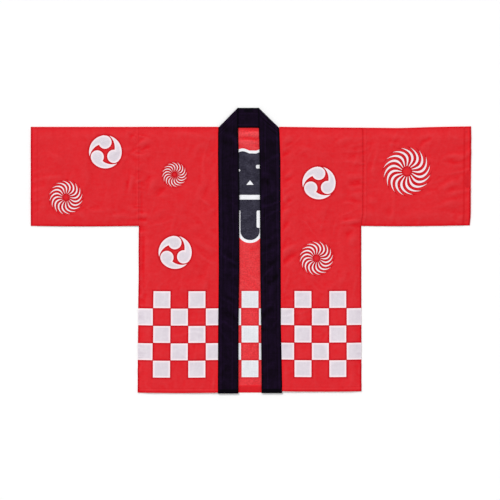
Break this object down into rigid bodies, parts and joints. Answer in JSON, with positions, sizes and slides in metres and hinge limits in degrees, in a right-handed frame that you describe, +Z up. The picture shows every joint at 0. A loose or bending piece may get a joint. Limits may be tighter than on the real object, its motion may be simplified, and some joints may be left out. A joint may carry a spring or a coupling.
{
  "type": "happi coat laid flat",
  "caption": "Straight-cut festival coat with wide open sleeves and a long collar band down both open fronts, laid flat with its front up.",
  "frame": {"origin": "on the surface that the coat lies on, under the middle of its box", "axes": "+X towards the wearer's left cuff, +Y from the hem to the neck, +Z up out of the coat's front"},
  "size_m": [1.326, 0.8582, 0.0062],
  "materials": {
    "back_cloth": "matt printed cotton, red",
    "front_right_cloth": "matt printed cotton, red",
    "front_left_cloth": "matt printed cotton, red",
    "sleeve_right_cloth": "matt printed cotton, red",
    "sleeve_left_cloth": "matt printed cotton, red",
    "collar_cloth": "matt cotton, near black"
  },
  "bodies": {
    "root": {"back": "back_cloth", "front_right": "front_right_cloth", "front_left": "front_left_cloth", "sleeve_right": "sleeve_right_cloth", "sleeve_left": "sleeve_left_cloth", "collar": "collar_cloth"}
  },
  "joints": []
}
